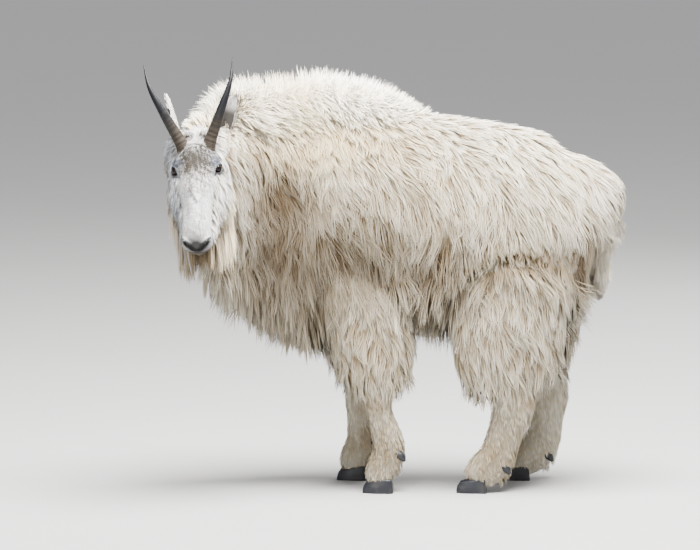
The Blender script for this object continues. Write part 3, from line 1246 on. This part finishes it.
def makeEye(name, side):
    # a ball with its pole on the gaze, swollen over the iris: radius + cornea * bell of the angle
    gaze = (eyeOut * (1, side, 1)) @ headTurn
    level = unit(np.cross(up, gaze))
    over = np.cross(gaze, level)
    polar = np.linspace(0.02, np.pi - 0.02, eyeball["rings"])[:, None]
    turn = 2 * np.pi * np.arange(eyeball["around"])[None] / eyeball["around"]
    radius = eyeball["radius"] - 0.0002 + eyeball["cornea"] * (bell(polar, 0.5, 4) - 0.4)
    a, b = radius * np.sin(polar) * np.cos(turn), radius * np.sin(polar) * np.sin(turn)
    c = radius * np.cos(polar) * np.ones_like(turn)
    grid = inHead(eyeAt, side) + level * a[..., None] + over * b[..., None] + gaze * c[..., None]
    points, faces = closedTube(grid)
    fromGaze = np.append(np.repeat(polar[:, 0] / eyeball["iris"], eyeball["around"]), (0, 3))
    wide, high = eyeball["bar"]
    bar = np.sqrt((a / wide) ** 2 + (b / high) ** 2) + 9 * (polar > 1.2)
    made = putMesh("eye" + name.capitalize(), points, faces,
                   attributes={"fromGaze": fromGaze, "fromBar": np.append(bar.ravel(), (0, 9))})
    dress(made, finishes["eye"], "eye", "eye_" + name)
    print(made.name)


def flankLength(points, normal):
    # shorter on the back and the end of the rump, longer on the lower flank and thigh
    x, z = points[:, 0], points[:, 2]
    long = np.interp(z, (0.44, 0.60, 0.78, 0.88, 0.95), (0.120, 0.115, 0.100, 0.070, 0.056))
    long = long * (1 - 0.45 * smooth(x, 0.33, 0.40) * (1 - smooth(z, 0.60, 0.66)))
    long = long * (1 - 0.36 * smooth(x, 0.40, 0.48)) * (0.86 + 0.28 * noiseAt(points, 0.05, 8))
    room = 0.042 + np.maximum(z - 0.640, 0)   # short above the fold of the thigh
    above = bell(x - 0.275, 0.125, 4) * (points[:, 1] < 0) * smooth(z, 0.560, 0.585)
    return blend(long, np.minimum(long, room), above)


def flankLift(points, normal):
    return np.interp(points[:, 2], (0.5, 0.85, 0.93), (0.12, 0.15, 0.28)) * (1 - 0.4 * clamp(normal[:, 0]))


def neckLength(points, normal):
    long = np.interp(points[:, 2], (0.45, 0.7, 0.9, 1.0), (0.11, 0.10, 0.085, 0.07))
    return long * (0.18 + 0.82 * earRoom(points))


def neckWeight(points, normal):
    return 0.8 + 0.8 * smooth(points[:, 2], 0.82, 0.92)


def earRoom(points):
    # 0 beside an ear and in front of it, 1 farther off and below: long hair there would hide the ear
    share = np.ones(len(points))
    for side in (1, -1):
        base, rise, opening, _ = earAxes(side)
        t = np.clip((points - base) @ rise, 0.02, 0.12)[:, None]
        near = np.linalg.norm(points - base - rise * t - opening * 0.025, axis=-1)
        share = share * np.maximum(smooth(near, 0.036, 0.112), smooth(base[2] - points[:, 2], 0.0, 0.045))
    return share


def flankQuarters(roots):
    left, ahead = roots[:, 1] < 0, roots[:, 0] < 0.02
    return {"LeftFront": left & ahead, "LeftRear": left & ~ahead,
            "RightFront": ~left & ahead, "RightRear": ~left & ~ahead}


def neckHalves(roots):
    middle = np.interp(roots[:, 0], (-0.52, -0.4, -0.31, -0.2), (-0.22, -0.08, -0.02, 0.0))
    left = roots[:, 1] - middle < 0
    return {"Left": left, "Right": ~left}


# tufts, fellows in a clump and its reach, a tuft's width and steps, then what differs from the
# usual; length, lift (in radians) and paint are functions of the root
flankFur = dict(usualFur, tufts=25500, fellows=6, reach=0.009, width=0.0022, steps=3, wave=0.0055,
                gather=0.55, hang=0.25, spare=1.12, swirl=0.42, length=flankLength, lift=flankLift)
neckFur = dict(usualFur, tufts=11000, fellows=6, reach=0.009, width=0.0023, steps=3, wave=0.0055,
               gather=0.58, hang=0.25, spare=1.5, swirl=0.34, length=neckLength, lift=flankLift,
               paint=bodyMarkings)


def growTrunk():
    coatPiece("flankFur", chartGrid(trunk), flankFur, even(1.0), flankLie, split=flankQuarters)
    coatPiece("neckFur", chartGrid(neck), neckFur, neckWeight, flankLie, split=neckHalves)


legFur = dict(usualFur, fellows=6, reach=0.009, width=0.0026, steps=3, wave=0.0046, gather=0.55,
              hang=0.35, spare=1.3, swirl=0.34, lift=even(0.14))
legKinds = dict(foreleg=(2400, 0.082), hindleg=(3200, 0.088))   # tufts and length of the upper leg
shankFur = dict(usualFur, tufts=2500, fellows=5, reach=0.006, width=0.0020, steps=2, gather=0.4,
                hang=0.2, clumpStray=0.12, spare=1.2, swirl=0.2, finish="shank", lift=even(0.11))


def shankLength(points, normal):
    long = np.interp(points[:, 2], (0.03, 0.10, 0.2, 0.27), (0.014, 0.021, 0.023, 0.034))
    return long * (1 + 0.5 * clamp(normal[:, 0]))


def growLegs():
    # long wool on each upper leg, short hair on its shank
    for name, *_ in legSides:
        for kind, (tufts, long) in legKinds.items():

            def legLength(points, normal):
                return long * np.interp(points[:, 2], (0.26, 0.30, 0.34), (0.62, 0.85, 1.0))

            title, upper = kind + name.capitalize(), charts[f"{kind}_{name}"]
            coatPiece(title + "Fur", chartGrid(upper), dict(legFur, tufts=tufts, length=legLength),
                      lambda p, n: 1.0 * (p[:, 2] < 0.602), legLie(upper["rows"]))
            shank = charts[f"{kind[:4]}shank_{name}"]
            coatPiece(title + "ShankFur", chartGrid(shank), dict(shankFur, length=shankLength),
                      lambda p, n: 1.0 * (p[:, 2] < 0.29) * (p[:, 2] > 0.026), legLie(shank["rows"]))


def tailLength(points, normal):
    return np.interp(points[:, 2], (0.49, 0.6, 0.72), (0.036, 0.080, 0.075))


def tailPaint(points):
    return markings(points) * 0.2 + tone(250, 244, 230) * 0.8


def tailFacing(path):
    # shaded as one round bundle
    return unit((path - (0.430, 0, 0)) * (1, 1, 0) / 0.04 + up * 0.8)


def tailLie(points, normal):
    return unit(np.stack([0.03 * clamp(normal[:, 0]) - 0.02, 0.22 * normal[:, 1],
                          -np.ones(len(points))], -1))


tailFur = dict(usualFur, tufts=5000, fellows=7, reach=0.009, width=0.0026, steps=3, wave=0.0035,
               gather=0.5, hang=0.4, spare=1.1, free=True, bow=0.05, finish="crest",
               length=tailLength, lift=even(0.20), paint=tailPaint, facing=tailFacing)


def growTail():
    coatPiece("tailFur", chartGrid(tail), tailFur, even(1.0), tailLie)


# the crest: its ridge in x and y, and its height and backward lean by x
crestFur = dict(usualFur, tufts=8200, fellows=5, reach=0.008, width=0.0030, steps=3, wave=0.0016,
                gather=0.45, hang=-0.10, clumpStray=0.14, free=True, halfWidth=0.068, finish="crest",
                paint=bodyMarkings, lift=even(0.0),
                ridge=[(-0.560, -0.290), (-0.530, -0.240), (-0.480, -0.165), (-0.410, -0.080),
                       (-0.320, -0.025), (-0.230, 0.000), (-0.120, 0.000), (-0.040, 0.000),
                       (0.025, 0.000)],
                tall=((-0.55, -0.50, -0.44, -0.30, -0.20, -0.10, -0.03, 0.03),
                      (0.062, 0.090, 0.106, 0.100, 0.088, 0.070, 0.044, 0.030)),
                lean=((-0.53, -0.44, -0.34, -0.22, -0.12, -0.03, 0.06),
                      (-0.45, -0.35, -0.05, 0.10, 0.40, 0.95, 1.90)))


def growCrest():
    # roots fall onto the skin from above a band along the ridge; hair stands up in the middle of
    # the band, and towards its edges it grows shorter and leans over to join the flank
    rings, columns = 80, 30
    ridge = np.array([(x, y, 1.03) for x, y in crestFur["ridge"]])
    t = np.linspace(0, len(ridge) - 1, rings)
    line = alongRows(ridge, t)
    side = unit(np.cross(unit(np.gradient(line, axis=0)), up))
    wide = np.interp(t, (0, 1, 2, 4, 8), (0.7, 0.6, 0.8, 1.0, 0.8))[:, None, None] * crestFur["halfWidth"]
    grid = line[:, None] + side[:, None] * wide * np.linspace(-1, 1, columns)[None, :, None]
    for _ in range(40):
        fall = np.clip(heightAt(grid.reshape(-1, 3)), -0.03, 0.03)
        grid = grid - up * fall.reshape(rings, columns, 1)

    def offset(points):
        # how far to the side of the ridge, as a share of the band's half width
        nearest = np.argmin(((points[:, None, :2] - line[None, :, :2]) ** 2).sum(-1), 1)
        return ((points - line[nearest]) * side[nearest]).sum(-1) / crestFur["halfWidth"], side[nearest]

    def crestLength(points, normal):
        off, _ = offset(points)
        tall = np.interp(points[:, 0], *crestFur["tall"]) * (1 - 0.48 * np.minimum(np.abs(off), 1.2) ** 2)
        return tall * (0.25 + 0.75 * earRoom(points))

    def crestWeight(points, normal):
        # none below the band or over the face, few at its edges and its rear end
        off, _ = offset(points)
        return ((normal[:, 2] > 0) * smooth(-toHead(points)[:, 0], 0.016, 0.028) * earRoom(points)
                * (1 - 0.85 * smooth(np.abs(off), 0.45, 0.98))
                * (1 - 0.85 * smooth(points[:, 0], -0.10, 0.02)))

    def crestLie(points, normal):
        off, aside = offset(points)
        lean = np.interp(points[:, 0], *crestFur["lean"])
        lean = lean + 0.45 * np.abs(off) ** 1.5
        rise = np.maximum(1 - 1.75 * np.abs(off) ** 1.3, -1.0)
        way = np.stack([lean, np.zeros(len(lean)), rise], -1)
        return unit(way + aside * np.clip(1.35 * off * np.abs(off) ** 0.3, -1.7, 1.7)[:, None])

    closed = np.concatenate([grid, grid[:, ::-1] - up * 0.002], 1)   # the strip and its underside
    coatPiece("crestFur", closed, dict(crestFur, length=crestLength), crestWeight, crestLie)


# long hair under the throat, chest and belly, down to a hem: its x and z
ruffFur = dict(usualFur, tufts=1900, fellows=9, reach=0.012, width=0.0052, steps=4, wave=0.0045,
               gather=0.75, hang=0.9, spare=1.6, stray=0.05, clumpStray=0.08, lift=even(0.10),
               hem=((-0.50, -0.42, -0.37, -0.325, -0.30, -0.255, -0.2, 0.0, 0.2, 0.45),
                    (0.470, 0.435, 0.390, 0.355, 0.315, 0.335, 0.40, 0.405, 0.405, 0.42)))


def growRuff():
    def ruffLength(points, normal):
        # as long as the root is above the hem
        return clamp(points[:, 2] - np.interp(points[:, 0], *ruffFur["hem"]), 0.05, 0.150)

    def ruffLie(points, normal):
        return unit(np.stack([np.full(len(points), 0.04), 0.05 * normal[:, 1],
                              -np.ones(len(points))], -1))

    def ruffWeight(points, normal):
        # the throat and chest, and whatever faces down on the belly
        x, z = points[:, 0], points[:, 2]
        return smooth(-z, -0.64, -0.52) * (x < -0.24) + 0.6 * (z < 0.52) * (normal[:, 2] < 0)

    fur = dict(ruffFur, length=ruffLength)
    coatPiece("ruffFur", chartGrid(neck), fur, ruffWeight, ruffLie)
    coatPiece("bellyFur", chartGrid(trunk), dict(fur, tufts=2300, spare=1.1), ruffWeight, ruffLie)


def straightPaths(roots, normal, way, length, rise, steps=2):
    # a short bow: root + way * length * s + normal * rise * s (1 - s / 3)
    s = np.linspace(0, 1, steps + 1)[None, :, None]
    length = length[:, None, None]
    flat = unit(way - normal * dot(way, normal))[:, None]
    out = normal[:, None]
    bow = out * length * rise * s * (1 - s / 3)
    path = roots[:, None] + flat * length * s + bow - out * 0.0008 * (1 - s)
    return path, np.broadcast_to(out, path.shape)


faceFur = dict(usualFur, tufts=13000, fellows=5, reach=0.004, steps=2, thick=0.30, bare=0.96,
               padAt=(0.303, 0, -0.040), padReach=(0.018, 0.020, 0.022))


def faceWeight(p, normal):
    # none on eyes, nostrils, mouth and nose pad, few below the cheeks, more beside the nose
    share, _ = almondShare(p)
    side = folded(p)
    bare = smooth(share, 2.0, 2.7)
    bare = bare * smooth(nearPath(side, nostrilPath), 0.006, 0.012)
    bare = bare * smooth(nearPath(side, mouthPath), 0.0070, 0.013)
    pad = bellAround(side, faceFur["padAt"], faceFur["padReach"])
    return (bare * (1 - faceFur["bare"] * clamp(pad * 1.8)) * (0.7 + 0.5 * (p[:, 2] > -0.09))
            * (p[:, 0] > -0.03) * (0.8 + 1.2 * smooth(p[:, 0], 0.19, 0.27)))


def growFace(grid):
    # short hair over the whole face, down towards the nose and outwards
    roots, normal, uv, clump = growClumps(grid, faceFur, faceWeight, onBody=False)
    x, y, z = roots.T
    way = np.stack([0.9 - 1.3 * smooth(-x, -0.05, 0.0), 1.3 * y / 0.06,
                    -0.6 - 5 * np.maximum(-z - 0.05, 0)], -1)
    way = unit(way) + 0.16 * dice.normal(size=way.shape)
    length = np.interp(x, (-0.03, 0.05, 0.12, 0.2, 0.26, 0.30), (0.018, 0.010, 0.009, 0.008, 0.006, 0.004))
    length = length * dice.uniform(0.7, 1.2, len(x)) * (1 + 1.2 * smooth(-z, 0.06, 0.11))
    share, _ = almondShare(roots)
    length = np.minimum(length, 0.0025 + 0.0065 * np.maximum(share - 1, 0))
    path, outs = straightPaths(roots, normal, way, length, 0.24)
    guide = path[clump["first"][clump["of"]]]
    path = path + (guide - path) * 0.35 * np.linspace(0, 1, 3)[None, :, None]
    path, outs = inHead(path), outs @ headTurn
    fur = dict(faceFur, width=0.0006 + 0.085 * length)
    made = furMesh("faceFur", path, outs, fur, uv, markings(path[:, 0]), dice.random(len(path)))
    dress(made, finishes["face"], "face")
    print("faceFur", len(path), "tufts")


def jawPaint(points):
    # white cheeks, turning to tan under the jaw
    h = toHead(points)
    low = smooth(-h[:, 2], 0.052, 0.084)[:, None]
    inner = 1 - smooth(np.abs(h[:, 1:2]), 0.024, 0.050)
    cheek = blend(tone(196, 202, 210), tone(246, 245, 241), smooth(h[:, 1:2], -0.03, 0.03))
    cheek = cheek + (tone(226, 208, 172) - cheek) * low * 0.8
    return cheek + (tone(136, 119, 94) - cheek) * low * inner


def jawFacing(path):
    # hanging hair is shaded as a curtain that faces sideways and ahead
    aside = np.tanh(((path - pollAt) @ headTurn[1]) / 0.03)[..., None]
    return unit(headTurn[1] * aside * 0.7 + unit(headTurn[0] * (1, 1, 0)) * 0.9 + up * 0.5)


def cheekWeight(points, normal):
    h = toHead(points)
    share, _ = almondShare(h)
    weight = smooth(np.abs(h[:, 1]), 0.028, 0.044) * smooth(-h[:, 2], 0.022, 0.045)
    weight = weight * smooth(-h[:, 0], -0.282, -0.240) * smooth(h[:, 0], -0.05, -0.01)
    return weight * (share > 1.7)


def cheekLength(points, normal):
    h = toHead(points)
    share, _ = almondShare(h)
    long = np.interp(h[:, 0], *cheekFur["long"]) * (0.75 + 0.35 * smooth(-h[:, 2], 0.04, 0.09))
    return np.minimum(long, 0.006 + 0.008 * np.maximum(share - 1, 0))


def cheekLie(points, normal):
    # down the face and outwards, straight out in front of the ears
    h = toHead(points)
    side = np.sign(h[:, 1:2])
    above = smooth(-h[:, :1], -0.07, -0.02)
    outward = (0.25 + 0.14 * side) * (1 - above) + 0.85 * above
    return unit(headTurn[0] * (0.9 - 0.5 * above) + headTurn[1] * outward * side - headTurn[2] * 0.2)


cheekFur = dict(usualFur, tufts=7400, fellows=5, reach=0.006, width=0.0022, steps=3, wave=0.0012,
                gather=0.5, stray=0.07, clumpStray=0.09, hang=0.35, free=True, bow=0.32,
                lift=even(0.0), length=cheekLength, paint=jawPaint,
                long=((-0.03, 0.05, 0.10, 0.16, 0.21, 0.25, 0.28),
                      (0.040, 0.036, 0.056, 0.056, 0.044, 0.028, 0.010)))


def beardWeight(points, normal):
    # the chin and the whole under edge of the jaw
    h = toHead(points)
    return (smooth(-h[:, 2], 0.066, 0.090) * (h[:, 0] > -0.02) * (h[:, 0] < 0.262)
            * (0.35 + 1.1 * smooth(np.abs(h[:, 1]), 0.015, 0.045))
            * (1 + 0.4 * (h[:, 1] < -0.03)))


def beardLength(points, normal):
    # down to the hem, which is given across the head and falls along it
    hem = np.interp(toHead(points)[:, 1], *beardFur["hem"]) - 0.123 * (points[:, 1] + 0.27)
    return clamp(points[:, 2] - hem, 0.02, 0.165)


def beardLie(points, normal):
    aside = 0.065 + 3 * clamp(-0.045 - toHead(points)[:, 1:2], 0, 0.04)
    return unit(headTurn[1] * aside - up)


beardFur = dict(usualFur, tufts=7000, fellows=7, reach=0.008, width=0.0026, steps=4, wave=0.0026,
                gather=0.6, stray=0.05, clumpStray=0.07, hang=0.6, free=True, bow=0.10, soft=0.40,
                lift=even(0.0), length=beardLength, paint=jawPaint, facing=jawFacing,
                hem=((-0.080, -0.062, -0.048, -0.036, -0.028, -0.015, 0.0, 0.02, 0.045, 0.058, 0.066),
                     (0.700, 0.645, 0.592, 0.552, 0.548, 0.585, 0.592, 0.585, 0.566, 0.552, 0.590)))
earFur = dict(usualFur, tufts=1400, fellows=4, reach=0.004, width=0.0018, steps=2, soft=0.25,
              long=0.012, rim=tone(246, 244, 240), cup=tone(74, 70, 68))


def earTint(high, normal, opening):
    # white back, rim and tip, greyish cup
    cup = (smooth(normal @ opening, 0.0, 0.6) * (1 - 0.8 * smooth(high, 0.065, 0.100)))[:, None]
    return blend(earFur["rim"], earFur["cup"], cup)


def growEars():
    for name, side in (("left", 1), ("right", -1)):
        base, rise, opening, across = earAxes(side)

        def earWeight(points, normal):
            # sparse in the cup
            return 0.04 + 1.0 * ((normal @ opening) < 0.15)

        roots, normal, uv, _ = growClumps(earGrid(side), earFur, earWeight, onBody=False)
        way = rise + across * np.sign((roots - base) @ across)[:, None] * 0.25
        length = earFur["long"] * dice.uniform(0.7, 1.25, len(roots))
        way = way + 0.12 * dice.normal(size=roots.shape)
        path, outs = straightPaths(roots, normal, way, length, 0.26)
        tint = earTint((roots - base) @ rise, normal, opening)
        made = furMesh("earFur" + name.capitalize(), path, outs, earFur, uv, tint,
                       dice.random(len(path)))
        dress(made, finishes["face"], "face")
    print("earFur", len(path) * 2, "tufts")


def growHead():
    grid = headGrid()
    growFace(grid)
    coatPiece("cheekFur", inHead(grid), cheekFur, cheekWeight, cheekLie, slot="face")
    coatPiece("beardFur", inHead(grid), beardFur, beardWeight, beardLie, slot="face")
    growEars()


def paintSkin(skin):
    # the coat's markings and the ears' tint, and how wet each point is: nose, nostrils and eyes
    mesh = skin.data
    points, normal = meshPoints(mesh), vertexValues(mesh, "normal")
    q = toHead(points)
    bare = smooth(q[:, 0], -0.05, 0.0) * (np.abs(q[:, 1]) < 0.10) * smooth(q[:, 2], -0.20, -0.14)
    tint = markings(points) * (0.64 + 0.28 * bare)[:, None]   # darker at the roots of the long coat
    for side in (1, -1):
        base, rise, opening, _ = earAxes(side)
        near = points - base
        high = near @ rise
        ring = np.linalg.norm(near - high[:, None] * rise, axis=-1)
        inEar = ((high > 0.012) & (ring < 0.036) & (high < 0.13))[:, None]
        tint = np.where(inEar, earTint(high, normal, opening), tint)
    nearSide = folded(q)
    wet = 0.8 * bellAround(nearSide, (0.303, 0.0, -0.036), (0.02, 0.026, 0.018))
    wet = wet * (1 - bell(nearPath(nearSide, nostrilPath, nostrilWide), 1.3, 4))
    share, _ = almondShare(q)
    addAttribute(mesh, "tint", tint)
    addAttribute(mesh, "wet", clamp(wet + (share < 1.2)))
    mesh.shade_smooth()


placeCamera()
placeLights()
makeFloor()
finishes.update(coat=coatFinish("coatHair", opaque(156, 136, 106), 0.72),
                shank=coatFinish("shankHair", opaque(196, 180, 152), 0.72, 1.0, 0.24),
                crest=coatFinish("crestHair", opaque(222, 206, 172), 0.72, 1.0),
                face=coatFinish("faceHair", opaque(196, 184, 170), 0.72, 0.8), skin=skinFinish(),
                horn=hornFinish(), hoof=hoofFinish(), eye=eyeFinish())
skin = makeSkin()
fillDistance(skin)
paintSkin(skin)
flesh = [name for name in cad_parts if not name.startswith(("eye", "horn")) and "claw" not in name]
dress(skin, finishes["skin"], "coat", *flesh)
for sideName, sideSign in (("left", 1), ("right", -1)):
    makeHorn(sideName, sideSign)
    makeEye(sideName, sideSign)
makeFeet()
growTrunk()
growLegs()
growTail()
growCrest()
growRuff()
growHead()
